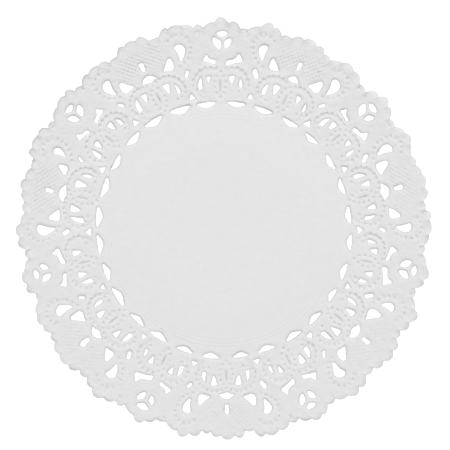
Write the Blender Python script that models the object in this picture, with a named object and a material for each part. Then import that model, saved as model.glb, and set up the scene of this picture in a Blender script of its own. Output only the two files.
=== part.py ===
# Paper lace doily: one flat round sheet with a plain middle, a cut border and a scalloped edge.
# The border repeats seven times round the sheet, a little out of true. Each repeat has a three-bar
# round on its own axis, a fan half way to the next repeat, and two pairs of overlapping rings between
# them and the middle.
# A figure is drawn with x across its axis and y outwards from the doily's centre, in millimetres,
# and then turned clockwise to its place. The first repeat's axis lies along +Y.

import math
import random
from collections import namedtuple

import bpy

MM = 0.001

# Driving dimensions, in millimetres, and angles in degrees
THICKNESS = 1.0
REPEATS = 7
SCALLOPS = 16            # in one repeat
SCALLOP_STEPS = 5        # straight runs along one scallop
SCALLOP_ROUND = 2.4      # power that makes a scallop square-shouldered
ARC_STEPS = 4            # straight runs along a bowed side or an arc
STRAY = 0.07             # furthest that a cut corner strays
SIZE_SPREAD = 0.25       # largest share by which like openings differ, and most differ by far less
DEEPER_TO = 300.0        # side on which the die bit deeper

EDGE_VALLEYS = 97.25     # mean radius of the valleys between the scallops, by the bars
EDGE_SWING = 1.9         # how far the edge swells, and falls back, as it follows the figures inside
EDGE_SWELLS = 4          # in one repeat
EDGE_FILL = 0.6          # half of what the falls by the fans are filled by
SCALLOP_RISE = 1.35      # crown of a scallop above its valleys
RISE_SPREAD = 0.6        # share by which the scallops differ in it
SCALLOP_CROWD = 0.12     # how much of a scallop they close up by where the edge falls back
SCALLOP_STRAY = 0.75     # furthest that one scallop stands out or in
SCALLOP_SLIP = 0.18      # and furthest that it slips along the edge, as a share of a scallop

LONGER = 0.0055          # share by which the sheet is longer along one line, and narrower across it
LONG_AXIS = -26.0        # that line

BARS = 0.0               # axis of a repeat's three-bar round
FANS = 180.0 / REPEATS   # axis of its fan
RINGS_FROM, RINGS_FULL = 50.0, 66.0  # radii where the die starts to draw the paper, and draws it in full
RIM_FROM, RIM_FULL = 73.0, 82.0      # radii where the rim's own draw takes over from the rings'

ROUND_CENTRE = 90.1      # three-bar round
ROUND_RADIUS = 4.3
ROUND_BAR = 2.1
ROUND_SPREAD = 60.0      # from the axis to an outward bar
ROUND_CORNER = 0.6       # length cut off each corner between the bars
CORNER_SHARE = 0.45      # and the most of a side that it takes

CRESCENT_WIDTH = 1.55    # opening along the outer side of a ring
CRESCENT_LOW, CRESCENT_HIGH = -22.0, 40.0
CRESCENT_WAIST = 10.0    # where its inner side bends
CRESCENT_HEEL = 0.2      # how much higher the inner side ends than the outer

Ring = namedtuple("Ring", "axis across out crescent")
RINGS = (
    # the ring to the right of the axis, and its crescent's outer radius
    Ring(axis=BARS, across=5.3, out=69.3, crescent=5.1),
    Ring(axis=FANS, across=5.65, out=68.8, crescent=5.7),
)

# Outlines of the openings, clockwise from the left. x is a share of the half width, y a share of the
# way from the foot to the top, and bow says how far the side to the next corner swells, as a share
# of the half width.
SHAPES = {
    "slot": (
        # x, y, bow
        (-1.0, 0.75, 0.0),
        (-0.9, 1.0, 0.06),
        (0.9, 1.0, 0.0),
        (1.0, 0.75, 0.0),
        (0.2, 0.0, 0.0),
        (-0.2, 0.0, 0.0),
    ),
    "notch": (
        (-1.0, 0.13, 0.0),
        (-0.1, 1.0, 0.0),
        (0.1, 1.0, 0.0),
        (1.0, 0.13, 0.0),
        (0.8, 0.0, 0.0),
        (-0.8, 0.0, 0.0),
    ),
    "lozenge": (
        (-1.0, 0.8, 0.0),
        (-0.4, 1.0, 0.0),
        (0.7, 0.95, 0.0),
        (1.0, 0.2, 0.0),
        (0.4, 0.0, 0.0),
        (-0.7, 0.05, 0.0),
    ),
    "keystone": (
        (-1.0, 0.88, 0.0),
        (-0.8, 1.0, 0.09),
        (0.7, 1.0, 0.0),
        (1.0, 0.88, 0.0),
        (0.35, 0.15, 0.0),
        (0.0, 0.0, 0.0),
        (-0.3, 0.15, 0.0),
    ),
    "wing": (
        (-1.0, 0.04, 0.0),
        (-1.0, 0.33, 0.0),
        (-0.8, 0.45, 0.0),
        (-0.21, 0.51, -0.04),
        (0.35, 0.82, 0.0),
        (0.4, 0.98, 0.04),
        (0.67, 1.0, 0.0),
        (0.8, 0.73, 0.0),
        (0.99, 0.55, 0.03),
        (0.91, 0.31, 0.0),
        (0.16, 0.22, 0.0),
        (-0.51, 0.1, 0.0),
        (-0.83, 0.0, 0.0),
    ),
    "spur": (
        (-1.0, 0.2, 0.0),
        (-0.82, 0.34, 0.0),
        (0.54, 1.0, 0.035),
        (1.0, 0.91, 0.0),
        (0.98, 0.39, 0.0),
        (0.82, 0.09, 0.0),
        (0.3, 0.0, 0.0),
        (-0.51, 0.13, 0.0),
    ),
    "drop": (
        (-1.0, 0.57, 0.13),
        (-0.67, 0.89, 0.1),
        (0.21, 1.0, 0.1),
        (1.0, 0.91, 0.05),
        (0.95, 0.78, -0.13),
        (0.49, 0.07, 0.0),
        (0.3, 0.0, 0.0),
        (0.12, 0.04, 0.1),
    ),
    "dome": (
        (-1.0, 0.26, 0.7),
        (1.0, 0.26, 0.0),
        (0.6, 0.21, 0.0),
        (0.11, 0.0, 0.0),
        (-0.11, 0.0, 0.0),
        (-0.6, 0.21, 0.0),
    ),
    "fan_slot": (
        (-0.7, 0.0, 0.0),
        (-1.0, 1.0, 0.69),
        (1.0, 1.0, 0.0),
        (0.7, 0.0, 0.11),
    ),
}

# Where the openings lie in a repeat: how far clockwise of which axis, how far across that line, and
# how far the top leans back towards the axis. The paired ones lie on both sides of the axis.
Place = namedtuple("Place", "shape axis off across half foot top lean")
PAIRED = (
    Place("slot", BARS, off=6.75, across=0.0, half=4.28, foot=58.78, top=61.05, lean=0.0),
    Place("slot", FANS, off=6.75, across=0.0, half=4.28, foot=58.78, top=61.05, lean=0.0),
    Place("notch", BARS, off=12.3, across=0.0, half=1.5, foot=63.95, top=66.2, lean=0.0),
    Place("lozenge", BARS, off=12.3, across=0.0, half=0.8, foot=74.3, top=77.7, lean=28.0),
    Place("keystone", BARS, off=0.0, across=5.5, half=1.3, foot=69.75, top=73.4, lean=0.0),
    Place("keystone", FANS, off=0.0, across=5.85, half=1.45, foot=69.15, top=73.6, lean=0.0),
    Place("wing", BARS, off=0.0, across=5.7, half=3.85, foot=78.1, top=83.2, lean=0.0),
    Place("spur", FANS, off=0.0, across=10.95, half=2.9, foot=78.35, top=84.0, lean=0.0),
    Place("drop", BARS, off=13.0, across=-0.15, half=2.1, foot=82.4, top=89.8, lean=0.0),
)
SINGLE = (
    Place("dome", FANS, off=0.0, across=0.0, half=3.55, foot=77.6, top=81.0, lean=0.0),
    Place("fan_slot", FANS, off=0.0, across=0.0, half=1.1, foot=83.9, top=87.4, lean=0.0),
)
# Size of the opening on the left and on the right of its axis, where the die cut them unlike, the
# largest share by which like ones differ, and the share by which they grow on the deeper side
Cut = namedtuple("Cut", "left right spread deeper", defaults=(SIZE_SPREAD, 0.0))
CUT = {
    "slot": Cut(left=1.0, right=1.0, spread=0.12, deeper=0.12),
    "wing": Cut(left=0.85, right=1.0),
    "spur": Cut(left=1.05, right=0.95),
    "lozenge": Cut(left=0.85, right=1.15),
    "crescent": Cut(left=1.1, right=0.9),
}
EVEN = Cut(left=1.0, right=1.0)
UNCUT = 5                # the repeat whose right crescent by the bars was not punched through

# How the die drew the paper out of true: outwards and clockwise, on the rings and on the rim outside
# them. Each is a sum of slow waves round the sheet that stand at chance places, and each wave
# reaches half of the value here.
Draw = namedtuple("Draw", "ring_out ring_turn rim_out rim_turn")
DRAW = Draw(ring_out=0.6, ring_turn=0.45, rim_out=0.45, rim_turn=0.45)
DRAW_WAVES = (2, 3, 5, 8)  # waves in one round

PAPER = (0.8, 0.8, 0.79, 1.0)
PAPER_ROUGHNESS = 0.85

strays = random.Random(7)
scallop_strays = [strays.uniform(-SCALLOP_STRAY, SCALLOP_STRAY) for _ in range(REPEATS * SCALLOPS)]
edge_strays = random.Random(2)
scallop_rises = [edge_strays.uniform(1 - RISE_SPREAD, 1 + RISE_SPREAD) for _ in scallop_strays]
scallop_slips = [edge_strays.uniform(-SCALLOP_SLIP, SCALLOP_SLIP) for _ in scallop_strays]
draw_starts = Draw(*([strays.uniform(0, math.tau) for _ in DRAW_WAVES] for _ in DRAW))


def outline(place):
    """The place's shape at its size: its corners, and points along each side that bows."""
    shape = SHAPES[place.shape]
    tall = place.top - place.foot
    turn = math.radians(place.lean)
    line = []
    for (x0, y0, bow), (x1, y1, _) in zip(shape, shape[1:] + shape[:1]):
        dx, dy = (x1 - x0) * place.half, (y1 - y0) * tall
        rise = bow * place.half / math.hypot(dx, dy)
        steps = ARC_STEPS if bow else 1
        for i in range(steps):
            t = i / steps
            swell = rise * 4 * t * (1 - t)
            x = x0 * place.half + dx * t - dy * swell
            y = (y0 - 0.5) * tall + dy * t + dx * swell
            line.append((
                place.across + x * math.cos(turn) - y * math.sin(turn),
                (place.foot + place.top) / 2 + x * math.sin(turn) + y * math.cos(turn),
            ))
    return line


def crescent(ring):
    """Opening inside a ring's outer side: an arc about its centre and a bent inner side."""
    def on_ring(radius, angle, lift=0.0):
        a = math.radians(angle)
        return ring.across + radius * math.cos(a), ring.out + radius * math.sin(a) + lift

    fall = (CRESCENT_LOW - CRESCENT_HIGH) / ARC_STEPS
    inner = ring.crescent - CRESCENT_WIDTH
    arc = [on_ring(ring.crescent, CRESCENT_HIGH + fall * i) for i in range(ARC_STEPS + 1)]
    return arc + [on_ring(inner, CRESCENT_LOW, CRESCENT_HEEL), on_ring(inner, CRESCENT_WAIST)]


def sector(start, end):
    """Opening between two bars of the three-bar round, its corners cut off.

    start and end are the bars' directions, in degrees clockwise of the axis. The corner at the hub
    is where the edges of the two bars meet.
    """
    middle, spread = math.radians((start + end) / 2), math.radians((end - start) / 2)
    hub = ROUND_BAR / 2 / math.sin(spread)
    edge = spread - math.asin(ROUND_BAR / 2 / ROUND_RADIUS)
    corners = [(hub * math.sin(middle), hub * math.cos(middle))]
    for i in range(ARC_STEPS + 1):
        a = middle - edge + 2 * edge * i / ARC_STEPS
        corners.append((ROUND_RADIUS * math.sin(a), ROUND_RADIUS * math.cos(a)))
    line = []
    last = len(corners) - 1
    for i, (x, y) in enumerate(corners):
        if 1 < i < last:
            line.append((x, ROUND_CENTRE + y))
            continue
        for nx, ny in (corners[i - 1], corners[(i + 1) % len(corners)]):
            share = min(CORNER_SHARE, ROUND_CORNER / math.hypot(nx - x, ny - y))
            line.append((x + (nx - x) * share, ROUND_CENTRE + y + (ny - y) * share))
    return line


def mirrored(line):
    return [(-x, y) for x, y in reversed(line)]


def eased(start, full, radius):
    """0 up to the start radius, 1 from the full radius, and a straight ramp between them."""
    return min(1.0, max(0.0, (radius - start) / (full - start)))


def drawn(radius, angle):
    """The point at radius and angle, clockwise of +Y in degrees, where the die drew the paper to."""
    a = math.radians(angle)
    draw = Draw(*(
        reach / 2 * sum(math.sin(waves * a + start) for waves, start in zip(DRAW_WAVES, starts))
        for reach, starts in zip(DRAW, draw_starts)
    ))
    on_rings = eased(RINGS_FROM, RINGS_FULL, radius)
    on_rim = eased(RIM_FROM, RIM_FULL, radius)
    out = on_rings * (draw.ring_out + (draw.rim_out - draw.ring_out) * on_rim)
    turn = on_rings * (draw.ring_turn + (draw.rim_turn - draw.ring_turn) * on_rim)
    long = math.radians(LONG_AXIS)
    a += turn / radius - long
    across = (radius + out) * math.sin(a) * (1 - LONGER)
    along = (radius + out) * math.cos(a) * (1 + LONGER)
    return across * math.cos(long) + along * math.sin(long), along * math.cos(long) - across * math.sin(long)


def placed(line, axis, cut, share=1.0):
    """The line sized about its middle, its corners strayed, turned to its axis and drawn out of true."""
    share *= strays.triangular(1 - cut.spread, 1 + cut.spread)
    share *= 1 + cut.deeper * math.cos(math.radians(axis - DEEPER_TO))
    mx = sum(x for x, _ in line) / len(line)
    my = sum(y for _, y in line) / len(line)
    corners = []
    for x, y in line:
        x = mx + (x - mx) * share + strays.uniform(-STRAY, STRAY)
        y = my + (y - my) * share + strays.uniform(-STRAY, STRAY)
        corners.append(drawn(math.hypot(x, y), axis + math.degrees(math.atan2(x, y))))
    return corners


def both_sides(line, axis, off, cut):
    """The line placed to the left of its axis, mirrored, and to the right, as it was drawn."""
    return [
        placed(mirrored(line), axis - off, cut, cut.left),
        placed(line, axis + off, cut, cut.right),
    ]


def repeat_openings(number):
    """All the openings of one repeat, round its bars' axis and round its fan's axis."""
    start = number * 360.0 / REPEATS
    openings = []
    for place in PAIRED:
        cut = CUT.get(place.shape, EVEN)
        openings += both_sides(outline(place), start + place.axis, place.off, cut)
    for ring in RINGS:
        left, right = both_sides(crescent(ring), start + ring.axis, 0.0, CUT["crescent"])
        openings.append(left)
        if number != UNCUT or ring.axis != BARS:
            openings.append(right)
    openings += both_sides(sector(ROUND_SPREAD, 180.0), start + BARS, 0.0, EVEN)
    openings.append(placed(sector(-ROUND_SPREAD, ROUND_SPREAD), start + BARS, EVEN))
    for place in SINGLE:
        openings.append(placed(outline(place), start + place.axis, EVEN))
    return openings


def scalloped_edge():
    """Outer line, with turns counting scallops clockwise and whole on a crown.

    The radius is a slow swell, whose falls fill up towards the fans, each scallop's rise, which is
    1 - |2t - 1| ** power from valley to valley, and a stray. The stray and the slip along the edge
    run straight from one scallop's to the next.
    """
    count = REPEATS * SCALLOPS
    swell_turn = math.tau * EDGE_SWELLS / SCALLOPS
    line = []
    for step in range(count * SCALLOP_STEPS):
        turns = step / SCALLOP_STEPS
        number, part = divmod(step, SCALLOP_STEPS)
        stray, slip = (
            own[number] + (own[(number + 1) % count] - own[number]) * part / SCALLOP_STEPS
            for own in (scallop_strays, scallop_slips)
        )
        rise = SCALLOP_RISE * scallop_rises[round(turns) % count]
        rise *= 1 - abs(2 * ((turns + 0.5) % 1) - 1) ** SCALLOP_ROUND
        swell = math.cos(turns * swell_turn)
        fill = EDGE_FILL * (1 - math.cos(turns * math.tau / SCALLOPS)) / 2
        radius = EDGE_VALLEYS + EDGE_SWING * swell + fill * (1 - swell) + rise + stray
        angle = (turns + SCALLOP_CROWD * math.sin(turns * swell_turn) + slip) * 360.0 / count
        line.append(drawn(radius, angle))
    return line


def closed_spline(curve, line):
    spline = curve.splines.new("POLY")
    spline.points.add(len(line) - 1)
    for point, (x, y) in zip(spline.points, line):
        point.co = (x * MM, y * MM, 0, 1)
    spline.use_cyclic_u = True


def paper():
    material = bpy.data.materials.new("paper")
    material.use_nodes = True
    shader = material.node_tree.nodes["Principled BSDF"]
    shader.inputs["Base Color"].default_value = PAPER
    shader.inputs["Roughness"].default_value = PAPER_ROUGHNESS
    shader.inputs["Metallic"].default_value = 0.0
    return material


def doily(collection):
    """The sheet: the scalloped edge filled, less every opening, and given its thickness."""
    curve = bpy.data.curves.new("doily", "CURVE")
    curve.dimensions = "2D"
    curve.fill_mode = "BOTH"
    curve.extrude = THICKNESS * MM / 2
    closed_spline(curve, scalloped_edge())
    for number in range(REPEATS):
        for opening in repeat_openings(number):
            closed_spline(curve, opening)
    curve.materials.append(paper())
    sheet = bpy.data.objects.new("doily", curve)
    sheet.location.z = THICKNESS * MM / 2
    collection.objects.link(sheet)


def main():
    for item in list(bpy.data.objects):
        bpy.data.objects.remove(item)
    collection = bpy.data.collections.new("paper_lace_doily")
    bpy.context.scene.collection.children.link(collection)
    doily(collection)


main()
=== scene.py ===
# Paper lace doily: one thin sheet, its border cut through and pressed into dots, ridges and lattice.
# The sheet is worked out flat, in millimetres, and an axis is given in degrees clockwise of +Y.

import math
import random

import bpy
import numpy as np
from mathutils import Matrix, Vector
from mathutils.geometry import delaunay_2d_cdt


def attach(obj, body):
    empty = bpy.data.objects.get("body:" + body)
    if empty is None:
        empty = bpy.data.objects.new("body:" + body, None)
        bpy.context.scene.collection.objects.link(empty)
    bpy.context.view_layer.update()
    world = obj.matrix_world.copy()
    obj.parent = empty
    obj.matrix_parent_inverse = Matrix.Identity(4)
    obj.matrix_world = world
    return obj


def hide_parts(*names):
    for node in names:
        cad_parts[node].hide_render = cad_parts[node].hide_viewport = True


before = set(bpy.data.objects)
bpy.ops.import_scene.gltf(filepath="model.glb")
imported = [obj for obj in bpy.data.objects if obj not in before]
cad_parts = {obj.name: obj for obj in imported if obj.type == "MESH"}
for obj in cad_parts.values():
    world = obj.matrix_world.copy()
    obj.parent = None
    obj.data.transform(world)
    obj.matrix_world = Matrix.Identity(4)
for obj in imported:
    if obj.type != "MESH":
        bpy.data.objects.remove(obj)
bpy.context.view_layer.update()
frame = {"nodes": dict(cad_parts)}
mm = 0.001
hair = 1e-6  # millimetres, too short to count
print("frame loaded:", ", ".join(frame["nodes"]))

border = {
    "repeats": 7,
    "scallops": 16,          # along the edge of one repeat
    "stray": 0.07,           # furthest that a cut corner strays
    "seed": 7,
    "edgeSeed": 2,
    "arcSteps": 4,           # straight runs along a bowed side
    "edgeStep": 0.5,         # between points along a cut edge
    "edgeTurn": 36.0,        # a cut that turns by less runs on as a curve
    "waver": 0.05,           # how far a cut edge wanders
    "waverLong": 5.0,
}
repeatTurn = 360.0 / border["repeats"]
barAxis, fanAxis = 0.0, repeatTurn / 2
scallopCount = border["repeats"] * border["scallops"]

strays = random.Random(border["seed"])
edgeStrays = random.Random(border["edgeSeed"])
chance = np.random.default_rng(border["seed"])
wanderSeeds = {"waver": (11, 12), "cockle": 5, "pillow": 31, "lip": 3, "paintedShade": 8, "hatch": 21}
slowWaves = {"number": 9, "shortest": 0.7, "longest": 1.6, "calm": 4}  # lengths as shares of the size


def turned(line, axis):
    # a figure drawn with x across its axis and y out along it, turned clockwise to that axis
    a = math.radians(axis)
    return line @ np.array([[math.cos(a), -math.sin(a)], [math.sin(a), math.cos(a)]])


def fromMiddle(radius, angle):
    # x = radius sin(angle), y = radius cos(angle), so the angle runs clockwise of +Y
    return np.stack([radius * np.sin(angle), radius * np.cos(angle)], axis=-1)


def aboutPoint(across, out, radius, angle):
    # x = across + radius cos(angle), y = out + radius sin(angle), so it runs anticlockwise of +X
    return np.stack([across + radius * np.cos(angle), out + radius * np.sin(angle)], axis=-1)


def polar(points):
    # distance from the middle, and angle clockwise of +Y
    return np.hypot(*points.T), np.arctan2(*points.T)


def folded(points, axis):
    # distance across and distance out along the nearest repeat of that axis
    radius, angle = polar(points)
    angle = np.degrees(angle) - axis
    angle = np.radians(angle - repeatTurn * np.round(angle / repeatTurn))
    return radius * np.sin(angle), radius * np.cos(angle)


def ramp(start, end, value):
    # 0 up to start, 1 from end, straight between
    return np.clip((value - start) / (end - start), 0, 1)


def soft(share):
    # 3t^2 - 2t^3, which leaves and arrives level
    return share * share * (3 - 2 * share)


def hump(distance, half):
    # (1 - t^2)^2 with t the distance as a share of the half width: 1 on the line, level at its foot
    return (1 - np.clip(np.abs(distance) / half, 0, 1) ** 2) ** 2


def wander(points, size, seed):
    # slow waves in chance directions, of lengths about the size, added up and divided by calm, which
    # brings them between about -1 and 1
    draw = np.random.default_rng(seed)
    turn, phase = draw.uniform(0, math.tau, (2, slowWaves["number"]))
    length = draw.uniform(slowWaves["shortest"], slowWaves["longest"], slowWaves["number"])
    across = points[:, :1] * np.cos(turn) + points[:, 1:] * np.sin(turn)
    return np.sin(across * math.tau / (size * length) + phase).sum(1) / slowWaves["calm"]


# the edge swells and falls back as it follows the figures inside, with scallops all along it
scalloped = {
    "valleys": 97.25,        # mean radius between the scallops, by the bars
    "swing": 1.9,            # of a swell, either way
    "swells": 4,             # in one repeat
    "fill": 0.6,             # half of what the falls by the fans are filled by
    "rise": 1.35,            # of a crown above its valleys
    "riseSpread": 0.6,       # share by which the scallops differ in it
    "square": 2.4,           # power that makes a scallop square-shouldered
    "crowd": 0.12,           # of a scallop, closed up where the edge falls back
    "stray": 0.75,           # furthest that one scallop stands out or in
    "slip": 0.18,            # furthest that one slips along the edge, as a share of its length
    "slipSteps": 4,          # rounds of taking the slip off again
}
swellTurn = math.tau * scalloped["swells"] / border["scallops"]


def forScallops(draw, reach, middle=0):
    # a chance value for each scallop, up to reach to either side of middle
    return [draw.uniform(middle - reach, middle + reach) for _ in range(scallopCount)]


scallopStrays = forScallops(strays, scalloped["stray"])
scallopRises = forScallops(edgeStrays, scalloped["riseSpread"], middle=1)
scallopSlips = forScallops(edgeStrays, scalloped["slip"])


def edgeRadius(turns):
    # turns counts scallops clockwise, whole on a crown: valleys + swing cos(turns), the falls filled up
    # towards the fans by fill (1 - cos(repeats)) (1 - cos(turns)) / 2, + rise times 1 - |2t - 1|^power
    # from valley to valley, and each scallop's own stray, straight to the next's
    number = np.floor(turns + .5).astype(int) % scallopCount
    rise = scalloped["rise"] * (1 - np.abs(2 * ((turns + .5) % 1) - 1) ** scalloped["square"])
    rise = rise * np.array(scallopRises)[number]
    own = np.interp(turns, np.arange(scallopCount), scallopStrays, period=scallopCount)
    swell = np.cos(turns * swellTurn)
    fill = scalloped["fill"] * (1 - np.cos(turns * math.tau / border["scallops"])) / 2 * (1 - swell)
    return scalloped["valleys"] + scalloped["swing"] * swell + fill + rise + own


def slipped(turns):
    # crowd sin(turns) and each scallop's own slip, straight to the next's
    own = np.interp(turns, np.arange(scallopCount), scallopSlips, period=scallopCount)
    return scalloped["crowd"] * np.sin(turns * swellTurn) + own


def edgeAngle(turns):
    # clockwise of +Y, with the slip in it
    return (turns + slipped(turns)) * math.tau / scallopCount


def fromValley(points):
    # distance along the edge to the nearest valley, and the turns there, found in a few steps
    radius, angle = polar(points)
    drawn = turns = angle / math.tau * scallopCount
    for _ in range(scalloped["slipSteps"]):
        turns = drawn - slipped(turns)
    return np.abs((turns % 1) - .5) * math.tau * radius / scallopCount, turns


def scallopedLine():
    # as many steps to a scallop as bring its points about edgeStep apart
    steps = round(math.tau * scalloped["valleys"] / scallopCount / border["edgeStep"])
    turns = np.arange(scallopCount * steps) / steps
    return fromMiddle(edgeRadius(turns), edgeAngle(turns))


# how the die drew the paper out of true, as slow waves that each reach half of the value here
dieDraw = {"ringsOut": 0.6, "ringsTurn": 0.45, "rimOut": 0.45, "rimTurn": 0.45}
dieWaves = np.array([2, 3, 5, 8])  # waves in one round
drawStarts = {name: [strays.uniform(0, math.tau) for _ in dieWaves] for name in dieDraw}
drawZones = {"ringsFrom": 50, "ringsFull": 66, "rimFrom": 73, "rimFull": 82}  # radii
# the sheet is longer by that share along one axis, and as much narrower across it
outOfRound = {"share": .0055, "axis": -26}


def drawnOut(points):
    # the flat pattern as the die drew it: a shift outwards and a slip clockwise, each the sum of
    # reach / 2 sin(waves angle + start) and brought in with ramps along the radius, and the whole
    # sheet a little out of round
    radius, angle = polar(points)
    turns = angle[:, None] * dieWaves
    draw = {name: reach / 2 * np.sin(turns + drawStarts[name]).sum(1) for name, reach in dieDraw.items()}
    onRings = ramp(drawZones["ringsFrom"], drawZones["ringsFull"], radius)
    onRim = ramp(drawZones["rimFrom"], drawZones["rimFull"], radius)
    out = onRings * (draw["ringsOut"] + (draw["rimOut"] - draw["ringsOut"]) * onRim)
    slip = onRings * (draw["ringsTurn"] + (draw["rimTurn"] - draw["ringsTurn"]) * onRim)
    drawn = fromMiddle(radius + out, angle + slip / np.maximum(radius, 1))
    longer = turned(drawn, -outOfRound["axis"]) * (1 - outOfRound["share"], 1 + outOfRound["share"])
    return turned(longer, outOfRound["axis"])


# corners of the openings, clockwise from the left: x as a share of the half width, y as a share of
# the way from foot to top, and how far the side to the next corner swells
openingShapes = {
    "slot": [(-1, .75, 0), (-.9, 1, .06), (.9, 1, 0), (1, .75, 0), (.2, 0, 0), (-.2, 0, 0)],
    "notch": [(-1, .13, 0), (-.1, 1, 0), (.1, 1, 0), (1, .13, 0), (.8, 0, 0), (-.8, 0, 0)],
    "lozenge": [(-1, .8, 0), (-.4, 1, 0), (.7, .95, 0), (1, .2, 0), (.4, 0, 0), (-.7, .05, 0)],
    "keystone": [
        (-1, .88, 0), (-.8, 1, .09), (.7, 1, 0), (1, .88, 0), (.35, .15, 0), (0, 0, 0), (-.3, .15, 0),
    ],
    "wing": [
        (-1, .04, 0), (-1, .33, 0), (-.8, .45, 0), (-.21, .51, -.04), (.35, .82, 0), (.4, .98, .04),
        (.67, 1, 0), (.8, .73, 0), (.99, .55, .03), (.91, .31, 0), (.16, .22, 0), (-.51, .1, 0),
        (-.83, 0, 0),
    ],
    "spur": [
        (-1, .2, 0), (-.82, .34, 0), (.54, 1, .035), (1, .91, 0), (.98, .39, 0), (.82, .09, 0),
        (.3, 0, 0), (-.51, .13, 0),
    ],
    "drop": [
        (-1, .57, .13), (-.67, .89, .1), (.21, 1, .1), (1, .91, .05), (.95, .78, -.13),
        (.49, .07, 0), (.3, 0, 0), (.12, .04, .1),
    ],
    "dome": [(-1, .26, .7), (1, .26, 0), (.6, .21, 0), (.11, 0, 0), (-.11, 0, 0), (-.6, .21, 0)],
    "fanSlot": [(-.7, 0, 0), (-1, 1, .69), (1, 1, 0), (.7, 0, .11)],
}
# shape, axis, turn off it, distance across that line, half width, foot, top, lean
pairedOpenings = [
    ("slot", barAxis, 6.75, 0, 4.28, 58.78, 61.05, 0),
    ("slot", fanAxis, 6.75, 0, 4.28, 58.78, 61.05, 0),
    ("notch", barAxis, 12.3, 0, 1.5, 63.95, 66.2, 0),
    ("lozenge", barAxis, 12.3, 0, .8, 74.3, 77.7, 28),
    ("keystone", barAxis, 0, 5.5, 1.3, 69.75, 73.4, 0),
    ("keystone", fanAxis, 0, 5.85, 1.45, 69.15, 73.6, 0),
    ("wing", barAxis, 0, 5.7, 3.85, 78.1, 83.2, 0),
    ("spur", fanAxis, 0, 10.95, 2.9, 78.35, 84.0, 0),
    ("drop", barAxis, 13.0, -.15, 2.1, 82.4, 89.8, 0),
]
# shape, axis, distance across it, half width, foot, top, lean
singleOpenings = [
    ("dome", fanAxis, 0, 3.55, 77.6, 81.0, 0),
    ("fanSlot", fanAxis, 0, 1.1, 83.9, 87.4, 0),
]
# size left and right of the axis, where the die cut the two unlike, largest share by which like
# openings differ, and share by which they grow on the side where the die bit deeper
openingSizes = {
    "slot": (1, 1, .12, .12), "wing": (.85, 1, .25, 0), "spur": (1.05, .95, .25, 0),
    "lozenge": (.85, 1.15, .25, 0), "crescent": (1.1, .9, .25, 0),
}
evenSizes = (1, 1, .25, 0)
deeperTo = 300  # that side
uncutRepeat = 5  # its right crescent by the bars was not punched through
# the ring right of each axis: axis, distance across, distance out, radius of its line of dots,
# spaces between the dots inside its neighbour, outer radius of the crescent opening
rings = [
    (barAxis, 5.3, 69.3, 8.0, 5, 5.1),
    (fanAxis, 5.65, 68.8, 8.7, 6, 5.7),
]
# low, high and waist are angles about the ring's centre, and the lower inner corner is raised by heel
crescent = {"width": 1.55, "low": -22, "high": 40, "waist": 10, "heel": .2}
# a round with one bar straight in from its hub and one at spread either side of straight out, and
# with the corners between them cut off by corner, or by cornerShare of a short side
threeBars = {"out": 90.1, "radius": 4.3, "bar": 2.1, "spread": 60, "corner": .6, "cornerShare": .45}


def openingLine(shape, across, half, foot, top, lean):
    # corner to corner, where a swelling side stands off its chord by 4t(1 - t) of its bow
    corners = np.array(openingShapes[shape], float)
    size = np.array([half, top - foot])
    line = []
    for (x, y, bow), after in zip(corners, np.roll(corners, -1, axis=0)):
        start, way = np.array([x, y - .5]) * size, (after[:2] - (x, y)) * size
        t = np.arange(border["arcSteps"] if bow else 1)[:, None] / border["arcSteps"]
        swell = 4 * t * (1 - t) * bow * half / math.hypot(*way)
        line.append(start + way * t + np.array([-way[1], way[0]]) * swell)
    return turned(np.concatenate(line), -lean) + (across, (foot + top) / 2)


def crescentLine(across, out, radius):
    # an arc about the ring's centre, and an inner side bent at the waist
    inner = radius - crescent["width"]
    angles = np.linspace(crescent["high"], crescent["low"], border["arcSteps"] + 1)
    reach = np.append(np.full(len(angles), radius), [inner, inner])
    angles = np.radians(np.append(angles, [crescent["low"], crescent["waist"]]))
    line = aboutPoint(across, out, reach, angles)
    line[-2, 1] += crescent["heel"]
    return line


def sectorLine(start, end):
    # between two bars of the round: hub, arc, and the corners cut off
    middle, spread = math.radians((start + end) / 2), math.radians((end - start) / 2)
    halfBar, radius = threeBars["bar"] / 2, threeBars["radius"]
    edge = spread - math.asin(halfBar / radius)
    arc = fromMiddle(radius, middle + np.linspace(-edge, edge, border["arcSteps"] + 1))
    corners = np.vstack([fromMiddle(halfBar / math.sin(spread), middle), arc])
    line, last = [], len(corners) - 1
    for i, corner in enumerate(corners):
        if 1 < i < last:
            line.append(corner)
            continue
        for near in (corners[i - 1], corners[(i + 1) % len(corners)]):
            share = min(threeBars["cornerShare"], threeBars["corner"] / math.dist(near, corner))
            line.append(corner + (near - corner) * share)
    return np.array(line) + (0, threeBars["out"])


def placed(line, axis, size, spread, deeper):
    # sized about its middle, its corners strayed, and turned to its axis
    grown = 1 + deeper * math.cos(math.radians(axis - deeperTo))
    size *= strays.triangular(1 - spread, 1 + spread) * grown
    shift = [strays.uniform(-border["stray"], border["stray"]) for _ in range(line.size)]
    middle = line.mean(0)
    return turned(middle + (line - middle) * size + np.reshape(shift, line.shape), axis)


def bothSides(line, axis, off, sizes):
    # turned over on the left of the axis, and as drawn on the right of it
    left, right, *others = sizes
    mirrored = line[::-1] * (-1, 1)
    return [placed(mirrored, axis - off, left, *others), placed(line, axis + off, right, *others)]


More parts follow.
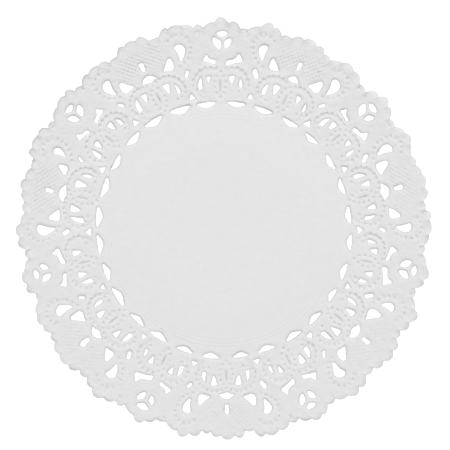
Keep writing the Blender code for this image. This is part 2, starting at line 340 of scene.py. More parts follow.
def openingLines():
    # every opening of every repeat, in the order in which the strays are drawn
    lines, evenSize, spread = [], evenSizes[1:], threeBars["spread"]
    for number in range(border["repeats"]):
        start = number * repeatTurn
        for shape, axis, off, *place in pairedOpenings:
            sizes = openingSizes.get(shape, evenSizes)
            lines += bothSides(openingLine(shape, *place), start + axis, off, sizes)
        for axis, across, out, _, _, radius in rings:
            line = crescentLine(across, out, radius)
            left, right = bothSides(line, start + axis, 0, openingSizes["crescent"])
            lines += [left] if (number, axis) == (uncutRepeat, barAxis) else [left, right]
        lines += bothSides(sectorLine(spread, 180), start + barAxis, 0, evenSizes)
        lines.append(placed(sectorLine(-spread, spread), start + barAxis, *evenSize))
        for shape, axis, *place in singleOpenings:
            lines.append(placed(openingLine(shape, *place), start + axis, *evenSize))
    return lines


def cutLine(line):
    # a cubic from corner to corner, leaving and arriving along the mean of the two sides where the
    # turn is slight, as fast as the shorter of them, and along the side itself where it is sharp
    out = np.roll(line, -1, axis=0) - line
    long = np.hypot(*out.T)[:, None]
    ahead = out / long
    behind, before = np.roll(ahead, 1, axis=0), np.roll(long, 1, axis=0)
    slight = (ahead * behind).sum(1, keepdims=True) > math.cos(math.radians(border["edgeTurn"]))
    mean = (ahead + behind) / np.maximum(np.linalg.norm(ahead + behind, axis=1, keepdims=True), hair)
    shorter = np.minimum(long, before)
    leave = np.where(slight, mean * shorter, ahead * long)
    arrive = np.roll(np.where(slight, mean * shorter, behind * before), -1, axis=0)
    steps = np.maximum(1, np.round(long[:, 0] / border["edgeStep"])).astype(int)
    side = np.repeat(np.arange(len(line)), steps)
    t = np.concatenate([np.arange(n) / n for n in steps])[:, None]
    bend = (t - 2 * t**2 + t**3) * leave[side] + (t**3 - t**2) * arrive[side]
    return line[side] + (3 * t**2 - 2 * t**3) * out[side] + bend


def anticlockwise(line):
    # turned round where its area comes out negative
    area = (line[:, 0] * np.roll(line[:, 1], -1) - np.roll(line[:, 0], -1) * line[:, 1]).sum()
    return line if area > 0 else line[::-1].copy()


# how the line of dots draws in at the foot of a ring: direction, and share of the ring's radius
ringFoot = {"angles": [-58, -40, -22, -8, 4], "reach": [.5, .64, .82, .95, 1], "steps": 240}
# the dots round a drop: an arc about a point on the drop's own axis, and a bent tail
dropDots = {
    "off": 13.0, "across": .2, "out": 89.1, "radius": 5.6, "from": 40, "to": 205, "steps": 60,
    "bend": (-4.8, 82.4), "end": (3.3, 78.6), "tailSteps": 30, "pitch": 2.6,
}
loneDots = [(-11.7, 93.8), (11.7, 93.8)]  # either side of the bars


def alongLine(line, pitch):
    # points at even steps along an open line
    along = np.append(0, np.cumsum(np.hypot(*np.diff(line, axis=0).T)))
    at = np.arange(0, along[-1], pitch)
    return np.stack([np.interp(at, along, line[:, 0]), np.interp(at, along, line[:, 1])], axis=1)


def ringDots():
    # round both rings of each pair, with one dot where the two rings cross
    sets = []
    for axis, across, out, radius, spaces, _ in rings:
        inside = math.degrees(math.acos(across / radius))
        angle = np.linspace(180 + inside, ringFoot["angles"][0], ringFoot["steps"])
        reach = radius * np.interp(angle, ringFoot["angles"], ringFoot["reach"])
        pitch = radius * math.radians(2 * inside) / spaces
        right = alongLine(aboutPoint(across, out, reach, np.radians(angle)), pitch)
        left = np.delete(right, [0, spaces], axis=0) * (-1, 1)
        sets += [(right, axis), (left, axis)]
    return sets


def dotPlaces():
    # centres of the pressed dots: round the rings, round the drops, and one either side of the bars
    d = dropDots
    angle = np.radians(np.linspace(d["from"], d["to"], d["steps"]))
    loop = aboutPoint(d["across"], d["out"], d["radius"], angle)
    t = np.linspace(0, 1, d["tailSteps"])[1:, None]
    tail = (1 - t) ** 2 * loop[-1] + 2 * t * (1 - t) * np.array(d["bend"]) + t * t * np.array(d["end"])
    dots = alongLine(np.vstack([loop, tail]), d["pitch"])
    sets = ringDots() + [(dots, barAxis + d["off"]), (dots * (-1, 1), barAxis - d["off"])]
    sets.append((np.array(loneDots), barAxis))
    turns = np.arange(border["repeats"]) * repeatTurn
    centres = np.concatenate([turned(dots, axis + turn) for turn in turns for dots, axis in sets])
    return centres + chance.normal(0, embossing["dotStray"] / 2, centres.shape)


spacing = {
    "rows": (0.28, 0.6, 0.98),           # rows of points beside every cut
    "dotRows": ((7, 0.32), (10, 0.78)),  # points round a dot, and how far out
    "apart": 0.26,
    "dotApart": 0.8,                     # as a share of that
    "creaseRows": (-0.6, 0, 0.6),
    "creaseFrom": 0.3,
    "creaseStep": 0.5,
    "ground": ((44, 0, 3.4), (57, 44, 1.8), (79, 57, 0.95), (104, 79, 1.4)),  # to, from, pitch
    "groundApart": 0.5,                  # as a share of the pitch
    "cells": 4,                          # in the least distance, on the net that keeps points apart
    "margin": 2,                         # least distances left round that net
    "strips": 64,                        # of the sheet, searched one at a time
}
embossing = {
    "paper": 0.2,            # thickness of the sheet
    "arch": 1.05,            # rise of the border above the middle
    "archFrom": 38.0,
    "archFull": 66.0,
    "droop": 0.3,            # fall from there to the edge
    "droopFrom": 78.0,
    "droopFull": 100.0,
    "droopTo": 15.0,         # the side that falls the most
    "droopLean": 0.35,       # share by which it falls more there and less across from it
    "cockle": 0.05,          # slow unevenness of the border
    "cockleSize": 7.0,
    "lip": 0.45,             # lip that the cut turned up along every edge
    "lipWidth": 0.95,
    "lipSpread": 0.55,       # share by which it differs from place to place
    "lipLong": 12.0,
    "dot": 0.57,
    "dotRadius": 0.8,
    "dotSpread": 0.25,       # share by which the dots differ in height
    "dotStray": 0.18,
    "ridge": 0.25,           # raised line just inside a ring's dots and pressed line just outside
    "ridgeIn": 0.65,
    "ridgeOut": 0.8,
    "ridgeHalf": 1.3,
    "ridgeAside": (2.0, 4.0),    # from the pair's axis, where the rings no longer overlap
    "ridgeFoot": (-9.0, -6.0),   # out from the ring's centre
    "band": 0.14,            # pressed line between the slots and the rings
    "bandOut": 62.2,
    "bandHalf": 1.0,
    "seam": 0.55,            # raised line between the two rings of a pair
    "seamFrom": 66.0,
    "seamTo": 72.2,
    "seamHalf": 0.7,
    "seamFade": 1.5,
    "crease": 0.42,          # pressed line inward from each valley of the edge
    "creaseHalf": 0.7,
    "creaseLong": 3.0,
    "dome": 0.26,            # swell of a scallop between its creases
    "pillow": 0.6,           # share by which both differ from one stretch of the edge to the next
    "pillowLong": 34.0,
    "sharp": 60.0,           # degrees between faces from which the shading breaks
}


def gapTo(points, starts, ends, reach):
    # shortest way from each point to the straight pieces, up to reach, and which piece that is:
    # the foot of the way is clipped to the piece; one strip of the sheet at a time
    gap, which = np.full(len(points), reach), np.zeros(len(points), int)
    low, high = np.minimum(starts, ends)[:, 0] - reach, np.maximum(starts, ends)[:, 0] + reach
    for strip in np.array_split(np.argsort(points[:, 0]), spacing["strips"]):
        p = points[strip]
        near = np.flatnonzero((high > p[:, 0].min()) & (low < p[:, 0].max()))
        if not len(near):
            continue
        a, way = starts[near], ends[near] - starts[near]
        share = ((p[:, None] - a) * way).sum(2) / np.maximum((way ** 2).sum(1), hair ** 2)
        away = p[:, None] - a - np.clip(share, 0, 1)[..., None] * way
        away = np.hypot(away[..., 0], away[..., 1])
        gap[strip], which[strip] = np.minimum(away.min(1), reach), near[away.argmin(1)]
    return gap, which


def gapToCuts(points, cuts, reach):
    # the same to the sides of closed cuts
    ends = [np.roll(cut, -1, axis=0) for cut in cuts]
    return gapTo(points, np.concatenate(cuts), np.concatenate(ends), reach)


def addedApart(kept, more, least):
    # kept, and those of more that keep their distance from kept and from one another, told on a
    # net of fine cells
    cells, margin = spacing["cells"], spacing["margin"] * least
    cell = least / cells
    reach = np.arange(-cells, cells + 1)
    disc = np.array([(i, j) for i in reach for j in reach if i * i + j * j <= cells * cells])
    every = np.vstack([kept, more])
    low = every.min(0) - margin
    taken = np.zeros(np.ceil((every.max(0) + margin - low) / cell).astype(int), bool)
    at = ((kept - low) / cell).astype(int)
    for shift in disc:
        taken[tuple((at + shift).T)] = True
    at = ((more - low) / cell).astype(int)
    more = more[~taken[tuple(at.T)]]
    first = np.unique(((more - low) / least).astype(int), axis=0, return_index=True)[1]
    return np.vstack([kept, more[np.sort(first)]])


def hexNet(radius, pitch):
    # rows sqrt(3) / 2 of the pitch apart, every other one moved on by half of it
    rows = np.arange(-radius, radius, pitch * math.sqrt(3) / 2)
    x, y = np.meshgrid(np.arange(-radius, radius, pitch), rows)
    x[::2] += pitch / 2
    return np.stack([x.ravel(), y.ravel()], axis=1)


def creasePoints():
    # beside the line inward from each valley
    turns = np.arange(scallopCount) + .5
    long = np.arange(spacing["creaseFrom"], embossing["creaseLong"], spacing["creaseStep"])
    inward, aside = np.meshgrid(long, spacing["creaseRows"])
    radius = edgeRadius(turns)[:, None] - inward.ravel()
    return fromMiddle(radius, edgeAngle(turns)[:, None] + aside.ravel() / radius).reshape(-1, 2)


def besideCuts(cuts, inset):
    # the points of every cut moved in from the edge, or away from an opening
    beside = []
    for cut in cuts:
        way = np.roll(cut, -1, axis=0) - np.roll(cut, 1, axis=0)
        aside = np.stack([way[:, 1], -way[:, 0]], axis=1) / np.hypot(*way.T)[:, None]
        beside.append(cut + aside * (-inset if cut is cuts[0] else inset))
    return np.concatenate(beside)


def sheetPoints(cuts, dots):
    # cut edges first, then the dots, what stands beside the cuts, the creases and the open ground
    rounds = [dots[:, None]]
    for number, out in spacing["dotRows"]:
        a = (np.arange(number) + len(rounds) / 2) * math.tau / number
        rounds.append(aboutPoint(dots[:, :1], dots[:, 1:], out, a))
    points = np.concatenate(cuts)
    around = np.concatenate(rounds, axis=1).reshape(-1, 2)
    points = addedApart(points, around, spacing["apart"] * spacing["dotApart"])
    for inset in spacing["rows"]:
        points = addedApart(points, besideCuts(cuts, inset), spacing["apart"])
    points = addedApart(points, creasePoints(), spacing["apart"])
    for reach, start, pitch in spacing["ground"]:
        ground = hexNet(reach, pitch)
        radius = np.hypot(*ground.T)
        ground = ground[(radius < reach) & (radius >= start)]
        points = addedApart(points, ground, pitch * spacing["groundApart"])
    return points


def relief(points, cuts, dots, dotRise):
    # height of the sheet above the table, in millimetres: soft ramps along the radius make the arch and
    # its droop, humps across a line or a dot the ridges, seams, creases and dots, a cosine along the
    # edge the swell of each scallop, and a soft ramp towards every cut its lip
    radius, angle = polar(points)
    e = embossing
    height = e["arch"] * soft(ramp(e["archFrom"], e["archFull"], radius))
    lean = np.cos(angle - math.radians(e["droopTo"]))
    height -= e["droop"] * (1 + e["droopLean"] * lean) * soft(ramp(e["droopFrom"], e["droopFull"], radius))
    cockle = wander(points, e["cockleSize"], wanderSeeds["cockle"])
    height += e["cockle"] * cockle * ramp(e["archFrom"], e["archFull"], radius)
    height -= e["band"] * hump(radius - e["bandOut"], e["bandHalf"])

    for axis, across, out, ringRadius, _, _ in rings:
        x, y = folded(points, axis)
        away = np.hypot(np.abs(x) - across, y - out) - ringRadius
        ridge = hump(away + e["ridgeIn"], e["ridgeHalf"]) - hump(away - e["ridgeOut"], e["ridgeHalf"])
        shown = ramp(*e["ridgeAside"], np.abs(x)) * ramp(*e["ridgeFoot"], y - out)
        height += e["ridge"] * ridge * shown
        between = ramp(e["seamFrom"], e["seamFrom"] + e["seamFade"], y)
        between *= ramp(e["seamTo"], e["seamTo"] - e["seamFade"], y)
        height += e["seam"] * hump(x, e["seamHalf"]) * between

    toEdge, _ = gapToCuts(points, cuts[:1], e["creaseLong"])
    toValley, turns = fromValley(points)
    nearEdge = ramp(e["creaseLong"], 0, toEdge) * (radius > drawZones["rimFull"])
    nearEdge *= 1 + e["pillow"] * wander(points, e["pillowLong"], wanderSeeds["pillow"])
    height -= e["crease"] * hump(toValley, e["creaseHalf"]) * nearEdge
    height += e["dome"] * np.cos(turns * math.tau) * nearEdge

    toDot, number = gapTo(points, dots, dots, e["dotRadius"])
    height += e["dot"] * dotRise[number] * hump(toDot, e["dotRadius"])

    toCut, _ = gapToCuts(points, cuts, e["lipWidth"])
    rise = e["lip"] * (1 + e["lipSpread"] * wander(points, e["lipLong"], wanderSeeds["lip"]))
    height += rise * soft(1 - toCut / e["lipWidth"])
    return np.maximum(height, 0)


# painted shade: the paper's colour darkened along the cut edges, along the outer edge on one side, in the
# dots, at the valleys and faintly all over the border, where the relief's shade falls
paintedShade = {
    "opening": 0.48,         # at an opening's edge
    "edge": 0.9,             # width of that
    "outer": 1.0,            # beside the outer edge, painted shade only on the side that leanTo gives
    "outerIn": 0.5,
    "outerHalf": 0.7,
    "leanTo": 332.0,
    "leanFrom": 0.2,         # cosine of the turn from that side at which it starts
    "spread": 0.75,          # share by which both differ from place to place
    "spreadLong": 14.0,
    "dotShare": 0.17,        # in the middle of a dot
    "dot": 0.6,              # radius of that
    "valleyShare": 0.8,      # at a valley of the outer edge
    "valley": 0.6,           # half the width of that
    "valleyLong": 2.2,
    "border": 0.06,          # all over the border
    "borderFrom": 59.0,
    "borderFull": 64.0,
}


def paintedShadeMask(points, cuts, dots):
    # how deep the painted shade is: the most of a ramp at the openings' edges, a hump just inside the
    # outer edge, a cone on each dot, a hump inward from each valley, and a trace all over the border
    p = paintedShade
    radius, angle = polar(points)
    toCut, which = gapToCuts(points, cuts, p["valleyLong"])
    onOuter = which < len(cuts[0])
    # painted shade beside the outer edge, only on the side towards leanTo
    outer = p["outer"] * ramp(p["leanFrom"], 1, np.cos(angle - math.radians(p["leanTo"])))
    outer = outer * hump(toCut - p["outerIn"], p["outerHalf"])
    hard = np.where(onOuter, outer, p["opening"] * ramp(p["edge"], 0, toCut))
    hard *= 1 + p["spread"] * wander(points, p["spreadLong"], wanderSeeds["paintedShade"])
    toDot, _ = gapTo(points, dots, dots, p["dot"])
    hard = np.maximum(hard, p["dotShare"] * (1 - toDot / p["dot"]))
    hard = np.maximum(hard, p["border"] * ramp(p["borderFrom"], p["borderFull"], radius))
    toValley, _ = fromValley(points)
    inward = ramp(p["valleyLong"], p["edge"] / 2, toCut) * onOuter
    return np.clip(np.maximum(hard, p["valleyShare"] * hump(toValley, p["valley"]) * inward), 0, 1)


# lines too fine for the mesh, which the paper's bump draws: along the seams, inside the outer edge,
# and along and beside the lines of dots; the seams and the line under the dots also get painted shade
fine = {
    "reach": 3.0,            # distances are kept up to here
    "fade": 1.0,
    "seamHalf": 0.55,
    "seamRise": 0.12,
    "seamShadeTone": 0.8,         # share of the tone left under its painted shade
    "groove": 1.45,          # in from the outer edge
    "grooveHalf": 0.5,
    "grooveDepth": 0.05,
    "dotLine": 0.6,          # half the width of the line under the dots
    "dotLineDepth": 0.035,
    "dotLineShadeShare": 0.12,     # how far its painted shade goes towards the seams'
    "beside": 1.25,          # from there to the line on either side
    "besideHalf": 0.5,
    "besideRise": 0.06,
    "ringAside": (1.0, 2.5),     # from the pair's axis, where a ring's line starts
    "ringFoot": (-9.0, -7.0),    # out from the ring's centre
    "dropFade": (30, 20),        # degrees before and after the arc round a drop
}


def fineLines(points, edge):
    # signed distance across the nearest seam, how strongly it shows, none from fine's reach on so
    # that the change from one seam to the next stays hidden, and distance to the edge
    across, shown = np.zeros(len(points)), np.zeros(len(points))
    for axis in (barAxis, fanAxis):
        x, y = folded(points, axis)
        here = ramp(embossing["seamFrom"], embossing["seamFrom"] + fine["fade"], y)
        here = here * ramp(embossing["seamTo"], embossing["seamTo"] - fine["fade"], y)
        here = here * ramp(fine["reach"], fine["reach"] - fine["fade"], np.abs(x))
        nearer = np.abs(x) < math.tan(math.radians(fanAxis / 2)) * y
        across, shown = np.where(nearer, x, across), np.where(nearer, here, shown)
    toEdge, _ = gapToCuts(points, [edge], fine["reach"] + fine["fade"])
    return np.column_stack([across, shown, toEdge])


def besideDots(points):
    # distance to the line of dots round the nearest ring or drop, where it is drawn and up to reach
    reach, gap = fine["reach"], np.full(len(points), fine["reach"])
    for axis, across, out, ringRadius, _, _ in rings:
        x, y = folded(points, axis)
        hidden = 1 - ramp(*fine["ringAside"], np.abs(x)) * ramp(*fine["ringFoot"], y - out)
        toRing = np.abs(np.hypot(np.abs(x) - across, y - out) - ringRadius)
        gap = np.minimum(gap, toRing + hidden * reach)
    d, (before, after) = dropDots, fine["dropFade"]
    for side in (-1, 1):
        x, y = folded(points, barAxis + side * d["off"])
        x, y = side * x - d["across"], y - d["out"]
        angle = np.degrees(np.arctan2(y, x)) % 360
        hidden = 1 - ramp(d["from"] - before, d["from"], angle) * ramp(d["to"] + after, d["to"], angle)
        gap = np.minimum(gap, np.abs(np.hypot(x, y) - d["radius"]) + hidden * reach)
    return gap


# the two families of pressed lines that cross on the fans
hatch = {
    "pitch": 1.68,
    "slant": 46.0,
    "height": 0.14,
    "from": 82.5,            # radius
    "to": 94.5,
    "fade": 1.0,
    "half": 12.5,            # either side of the axis
    "halfFade": 1.5,
    "even": 0.62,            # how strongly they show
    "lean": 0.26,            # and how much more on the side where the die bit deeper
    "leanTo": 340.0,
    "patchy": 0.22,          # and in places
    "patch": 17.0,
}


def hatchPhases(points):
    # turns of both families, which are the distance along their slants as a share of the pitch, and
    # how strongly they show
    h = hatch
    x, y = folded(points, fanAxis)
    radius, angle = polar(points)
    slant = math.radians(h["slant"])
    one, other = y * math.cos(slant) - x * math.sin(slant), y * math.cos(slant) + x * math.sin(slant)
    shown = ramp(h["from"], h["from"] + h["fade"], radius) * ramp(h["to"], h["to"] - h["fade"], radius)
    shown = shown * ramp(h["half"], h["half"] - h["halfFade"], np.abs(x))
    bite = h["even"] + h["lean"] * np.cos(angle - math.radians(h["leanTo"]))
    bite = bite + h["patchy"] * wander(points, h["patch"], wanderSeeds["hatch"])
    return np.column_stack([one / h["pitch"], other / h["pitch"], shown * np.maximum(bite, 0)])


def joinedFlat(points, cuts):
    # constrained triangles between all the points, kept inside the edge and outside the openings
    counts = [len(cut) for cut in cuts]
    loops = [loop.tolist() for loop in np.split(np.arange(sum(counts)), np.cumsum(counts)[:-1])]
    joined = delaunay_2d_cdt([Vector(p) for p in points.tolist()], [], loops, 1, hair)
    flat, faces = np.array([tuple(p) for p in joined[0]]), np.array(joined[2])
    faces = faces[[len(inside) == 1 for inside in joined[5]]]
    used, faces = np.unique(faces, return_inverse=True)
    return flat[used], faces.reshape(-1, 3)


def wallFaces(faces, count):
    # two triangles below every side that only one triangle has; the lower points are numbered count on
    sides = np.concatenate([faces[:, [0, 1]], faces[:, [1, 2]], faces[:, [2, 0]]])
    key, other = sides[:, 0] * count + sides[:, 1], sides[:, 1] * count + sides[:, 0]
    start, end = sides[~np.isin(key, other)].T
    return np.concatenate([
        np.column_stack([end, start, start + count]),
        np.column_stack([end, start + count, end + count]),
    ])


def doilySheet():
    # the flat points joined up, raised by the relief, and given the paper's thickness by the same
    # face lower down and a wall round every cut
    cuts = [anticlockwise(line) for line in [scallopedLine()] + [cutLine(line) for line in openingLines()]]
    dots = dotPlaces()
    dotRise = 1 + embossing["dotSpread"] * chance.uniform(-1, 1, len(dots))
    for axis, seed in enumerate(wanderSeeds["waver"]):
        for cut in cuts:
            cut[:, axis] += border["waver"] * wander(cut, border["waverLong"], seed)
    flat, faces = joinedFlat(sheetPoints(cuts, dots), cuts)
    print("dots:", len(dots), "openings:", len(cuts) - 1, "points on one face:", len(flat))

    height, spread = relief(flat, cuts, dots, dotRise), drawnOut(flat)
    top = np.column_stack([spread, embossing["paper"] + height]) * mm
    under = np.column_stack([spread, height]) * mm
    corner = top[faces]
    upward = np.cross(corner[:, 1] - corner[:, 0], corner[:, 2] - corner[:, 0])[:, 2]
    faces[upward <= 0] = faces[upward <= 0, ::-1]
    area = float(np.abs(upward).sum() / 2)
    wall = wallFaces(faces, len(top))
    every = np.concatenate([faces, faces[:, ::-1] + len(top), wall])
    print("triangles:", len(every), "cut area in square metres:", round(area, 5))

    mesh = bpy.data.meshes.new("doily_sheet")
    mesh.from_pydata(np.vstack([top, under]), [], every)
    mesh.polygons.foreach_set("material_index", np.repeat([0, 1], [2 * len(faces), len(wall)]))
    for name, values in (("hatch", hatchPhases(flat)), ("lines", fineLines(flat, cuts[0]))):
        data = mesh.attributes.new(name, "FLOAT_VECTOR", "POINT").data
        data.foreach_set("vector", np.vstack([values, values]).ravel())
    # the mask of painted shade that darkens the paper, stored on every point
    for name, values in (("pressedAndShade", paintedShadeMask(flat, cuts, dots)), ("fromDots", besideDots(flat))):
        mesh.attributes.new(name, "FLOAT", "POINT").data.foreach_set("value", np.tile(values, 2))
    mesh.shade_smooth()
    mesh.set_sharp_from_angle(angle=math.radians(embossing["sharp"]))
    mesh.validate()
    mesh.update()
    piece = bpy.data.objects.new("doily_sheet", mesh)
    bpy.context.scene.collection.objects.link(piece)
    return piece, area


paper = {
    "tone": 0.762,
    "toneSpread": 0.05,
    "paintedShadeTone": 0.78,     # share of the tone left under the deepest painted shade
    "cutEdge": 1.01,         # share of the tone on the cut edges
    "roughness": 0.86,
    "specular": 0.3,
    "laid": (0.6, 1, 1),     # the machine lays the fibres across the sheet
    "fibre": 900.0,          # fibres in a metre
    "fibreDetail": 4,
    "fibreRough": 0.6,
    "fibreHeight": 0.02,     # millimetres
    "cloud": 420.0,          # clouds of tone in a metre
    "cloudDetail": 4,
    "cloudRough": 0.75,
    "mottle": 500.0,         # small dents of the border in a metre
    "mottleDetail": 3,
    "mottleRough": 0.5,
    "mottleHeight": 0.33,    # millimetres
    "mottleFrom": 52.0,      # radius
    "mottleFull": 61.6,
    "rimMottle": 0.3,        # share more of it on the rim
    "rimFrom": 73.0,
    "rimFull": 88.0,
}
# faint circles round the middle
circles = {"from": 52.0, "to": 57.6, "fade": 0.8, "first": 52.8, "pitch": 1.85, "height": 0.029}


def feed(tree, value, socket):
    # a number is set on the socket, and another node's output is linked to it
    if isinstance(value, (int, float)):
        socket.default_value = value
    else:
        tree.links.new(value, socket)


def maths(tree, operation, *values):
    node = tree.nodes.new("ShaderNodeMath")
    node.operation = operation
    for socket, value in zip(node.inputs, values):
        feed(tree, value, socket)
    return node.outputs["Value"]


def faded(tree, value, start, end):
    # 0 at start, 1 at end and level at both
    node = tree.nodes.new("ShaderNodeMapRange")
    node.interpolation_type = "SMOOTHSTEP"
    node.inputs["From Min"].default_value = start
    node.inputs["From Max"].default_value = end
    tree.links.new(value, node.inputs["Value"])
    return node.outputs["Result"]


def lineAt(tree, distance, at, half):
    # 1 where the distance is at, and 0 from half on, to either side
    return faded(tree, maths(tree, "ABSOLUTE", maths(tree, "SUBTRACT", distance, at)), half, 0)


def attribute(tree, name):
    node = tree.nodes.new("ShaderNodeAttribute")
    node.attribute_name = name
    return node.outputs


def threeValues(tree, name):
    # an attribute of three numbers, as X, Y and Z
    node = tree.nodes.new("ShaderNodeSeparateXYZ")
    tree.links.new(attribute(tree, name)["Vector"], node.inputs["Vector"])
    return node.outputs


def noise(tree, place, scale, detail, roughness):
    node = tree.nodes.new("ShaderNodeTexNoise")
    node.inputs["Detail"].default_value = detail
    node.inputs["Roughness"].default_value = roughness
    feed(tree, scale, node.inputs["Scale"])
    tree.links.new(place, node.inputs["Vector"])
    return node.outputs["Fac"]


def newGroup(name, inputs, outputs):
    # a node group with number sockets, and its output node
    group = bpy.data.node_groups.new(name, "ShaderNodeTree")
    for way, sockets in (("INPUT", inputs), ("OUTPUT", outputs)):
        for socket in sockets:
            group.interface.new_socket(socket, in_out=way, socket_type="NodeSocketFloat")
    return group, group.nodes.new("NodeGroupOutput")


def fibreGroup():
    # cloudy tone and a fine felted height, from noise on the sheet's own coordinates
    group, out = newGroup("paperFibre", ["Density"], ["Cloud", "Height"])
    laid = group.nodes.new("ShaderNodeMapping")
    laid.inputs["Scale"].default_value = paper["laid"]
    group.links.new(group.nodes.new("ShaderNodeTexCoord").outputs["Object"], laid.inputs["Vector"])
    place = laid.outputs["Vector"]
    density = group.nodes.new("NodeGroupInput").outputs["Density"]
    felt = noise(group, place, density, paper["fibreDetail"], paper["fibreRough"])
    cloud = noise(group, place, paper["cloud"], paper["cloudDetail"], paper["cloudRough"])
    group.links.new(cloud, out.inputs["Cloud"])
    group.links.new(felt, out.inputs["Height"])
    return group


def pressedGroup():
    # height in millimetres of all that is too fine for the mesh: the crossed lines on the fans and the
    # circles round the middle, a cosine of each family's turns, the mottle of the border, and the
    # lines along seams, edge and dots, smooth steps of the distance; and the painted shade along the seams
    # and the line under the dots
    group, out = newGroup("pressedLines", [], ["Height", "PaintedShade"])
    lines, turns = threeValues(group, "lines"), threeValues(group, "hatch")
    fromDots = attribute(group, "fromDots")["Fac"]
    seam = maths(group, "MULTIPLY", lineAt(group, lines["X"], 0, fine["seamHalf"]), lines["Y"])
    groove = lineAt(group, lines["Z"], fine["groove"], fine["grooveHalf"])
    dotLine = lineAt(group, fromDots, 0, fine["dotLine"])
    beside = lineAt(group, fromDots, fine["beside"], fine["besideHalf"])
    waves = [maths(group, "COSINE", maths(group, "MULTIPLY", turns[axis], math.tau)) for axis in "XY"]
    crossed = maths(group, "MULTIPLY", maths(group, "ADD", *waves), turns["Z"])

    place = group.nodes.new("ShaderNodeTexCoord").outputs["Object"]
    length = group.nodes.new("ShaderNodeVectorMath")
    length.operation = "LENGTH"
    group.links.new(place, length.inputs[0])
    radius = maths(group, "DIVIDE", length.outputs["Value"], mm)
    fromFirst = maths(group, "SUBTRACT", radius, circles["first"])
    circle = maths(group, "COSINE", maths(group, "MULTIPLY", fromFirst, math.tau / circles["pitch"]))
    for start, fade in ((circles["from"], circles["fade"]), (circles["to"], -circles["fade"])):
        circle = maths(group, "MULTIPLY", circle, faded(group, radius, start, start + fade))

    mottle = noise(group, place, paper["mottle"], paper["mottleDetail"], paper["mottleRough"])
    onBorder = faded(group, radius, paper["mottleFrom"], paper["mottleFull"])
    mottle = maths(group, "MULTIPLY", maths(group, "SUBTRACT", mottle, .5), onBorder)
    onRim = faded(group, radius, paper["rimFrom"], paper["rimFull"])
    mottle = maths(group, "MULTIPLY", mottle, maths(group, "MULTIPLY_ADD", onRim, paper["rimMottle"], 1))

    height = maths(group, "MULTIPLY", crossed, hatch["height"] / 2)
    heights = (
        (circle, circles["height"]), (mottle, paper["mottleHeight"]), (seam, fine["seamRise"]),
        (groove, -fine["grooveDepth"]), (dotLine, -fine["dotLineDepth"]), (beside, fine["besideRise"]),
    )
    for shown, rise in heights:
        height = maths(group, "MULTIPLY_ADD", shown, rise, height)
    group.links.new(height, out.inputs["Height"])
    dotLine = maths(group, "MULTIPLY", dotLine, fine["dotLineShadeShare"])
    group.links.new(maths(group, "MAXIMUM", seam, dotLine), out.inputs["PaintedShade"])
    return group


def greyer(tree, colour, factor, share):
    # that share of the colour where the factor is 1
    node = tree.nodes.new("ShaderNodeMix")
    node.data_type = "RGBA"
    node.blend_type = "MULTIPLY"
    node.inputs["B"].default_value = (share, share, share, 1)
    tree.links.new(factor, node.inputs["Factor"])
    tree.links.new(colour, node.inputs["A"])
    return node.outputs["Result"]


def paperMaterial(name, fibres, lighter, pressedAndShade=None):
    # cloudy tone, darkened by painted shade where the relief's shade falls, with the fibre and the pressed
    # lines as bump
    material = bpy.data.materials.new(name)
    material.use_nodes = True
    tree = material.node_tree
    fibre = tree.nodes.new("ShaderNodeGroup")
    fibre.node_tree = fibres
    fibre.inputs["Density"].default_value = paper["fibre"]
    tone = tree.nodes.new("ShaderNodeMix")
    tone.data_type = "RGBA"
    for socket, spread in (("A", -paper["toneSpread"]), ("B", paper["toneSpread"])):
        grey = paper["tone"] * (lighter + spread)
        tone.inputs[socket].default_value = (grey, grey, grey, 1)
    tree.links.new(fibre.outputs["Cloud"], tone.inputs["Factor"])
    # painted shade: the tone darkened along the cuts, in the dots, at the valleys and on one side of the
    # outer edge
    colour = greyer(tree, tone.outputs["Result"], attribute(tree, "pressedAndShade")["Fac"], paper["paintedShadeTone"])
    height = maths(tree, "MULTIPLY", fibre.outputs["Height"], paper["fibreHeight"])
    if pressedAndShade:
        lines = tree.nodes.new("ShaderNodeGroup")
        lines.node_tree = pressedAndShade
        height = maths(tree, "ADD", height, lines.outputs["Height"])
        # painted shade along the seams and the line under the dots
        colour = greyer(tree, colour, lines.outputs["PaintedShade"], fine["seamShadeTone"])
    bump = tree.nodes.new("ShaderNodeBump")
    bump.inputs["Distance"].default_value = mm
    tree.links.new(height, bump.inputs["Height"])
    shader = tree.nodes["Principled BSDF"]
    shader.inputs["Specular IOR Level"].default_value = paper["specular"]
    shader.inputs["Roughness"].default_value = paper["roughness"]
    tree.links.new(colour, shader.inputs["Base Color"])
    tree.links.new(bump.outputs["Normal"], shader.inputs["Normal"])
    return material


sheet, cutArea = doilySheet()
fibres = fibreGroup()
sheet.data.materials.append(paperMaterial("paper", fibres, 1.0, pressedGroup()))
sheet.data.materials.append(paperMaterial("paper_cut_edge", fibres, paper["cutEdge"]))
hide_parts("doily")
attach(sheet, "root")
print("sheet in place")

studio = {
    "floor": 0.93,
    "floorRough": 0.9,
    "floorGlow": 0.25,
    "floorSize": 12.0,
    "floorBelow": 0.00005,   # metres under the sheet, so that the two faces don't meet
    "sky": 0.12,
    "overhead": 16.9,        # watts
    "overheadSize": 0.5,
    "overheadHeight": 1.5,
    "side": 1.0,             # sun strength
    "sideAngle": 12.0,
    "sideRise": 32.0,
    "sideFrom": 188.0,       # clockwise of +Y
}
white = (1, 1, 1, 1)


def intoScene(name, data):
    made = bpy.data.objects.new(name, data)
    bpy.context.scene.collection.objects.link(made)
    return made


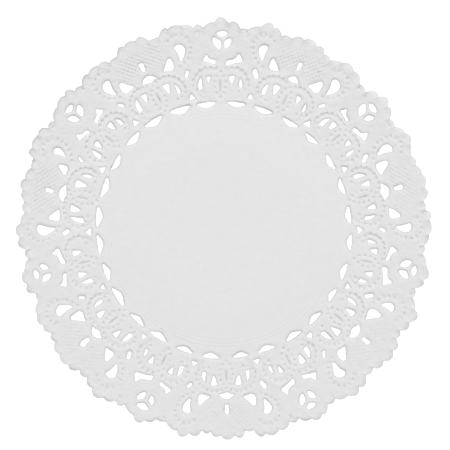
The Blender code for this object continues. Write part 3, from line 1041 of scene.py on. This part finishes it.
def madeFloor():
    half, grey = studio["floorSize"] / 2, studio["floor"]
    corners = [(-half, -half, 0), (half, -half, 0), (half, half, 0), (-half, half, 0)]
    mesh = bpy.data.meshes.new("floor")
    mesh.from_pydata(corners, [], [(0, 1, 2, 3)])
    material = bpy.data.materials.new("floor")
    material.use_nodes = True
    shader = material.node_tree.nodes["Principled BSDF"]
    shader.inputs["Base Color"].default_value = (grey, grey, grey, 1)
    shader.inputs["Roughness"].default_value = studio["floorRough"]
    shader.inputs["Emission Color"].default_value = white
    shader.inputs["Emission Strength"].default_value = studio["floorGlow"]
    mesh.materials.append(material)
    floor = intoScene("floor", mesh)
    floor.location.z = -studio["floorBelow"]


def madeLights():
    # a faint sky, a small soft light overhead and a low sun that shows the relief
    world = bpy.data.worlds.new("studio")
    world.use_nodes = True
    world.node_tree.nodes["Background"].inputs["Color"].default_value = white
    world.node_tree.nodes["Background"].inputs["Strength"].default_value = studio["sky"]
    bpy.context.scene.world = world
    overhead = bpy.data.lights.new("overhead", "AREA")
    overhead.energy = studio["overhead"]
    overhead.size = studio["overheadSize"]
    intoScene("overhead", overhead).location.z = studio["overheadHeight"]
    side = bpy.data.lights.new("side", "SUN")
    side.energy = studio["side"]
    side.angle = math.radians(studio["sideAngle"])
    a, rise = math.radians(studio["sideFrom"]), math.radians(studio["sideRise"])
    towards = Vector((math.sin(a) * math.cos(rise), math.cos(a) * math.cos(rise), math.sin(rise)))
    intoScene("side", side).rotation_euler = towards.to_track_quat("Z", "Y").to_euler()


camera = {
    "distance": 1.5,
    "wide": 215.4,           # mm of table across the frame
    "right": 0.51,           # of the doily's centre, mm
    "up": 2.16,
    "roll": -0.66,
    "sensor": 36,            # mm
    "sight": 20,             # metres
}


def madeCamera():
    lens = bpy.data.cameras.new("camera")
    lens.sensor_width = camera["sensor"]
    lens.lens = lens.sensor_width * camera["distance"] / (camera["wide"] * mm)
    lens.clip_end = camera["sight"]
    eye = intoScene("camera", lens)
    eye.location = (camera["right"] * mm, camera["up"] * mm, camera["distance"])
    eye.rotation_euler.z = math.radians(camera["roll"])
    bpy.context.scene.camera = eye


madeFloor()
madeLights()
madeCamera()
bpy.context.scene.view_settings.view_transform = "Standard"
print("floor, light and camera in place")
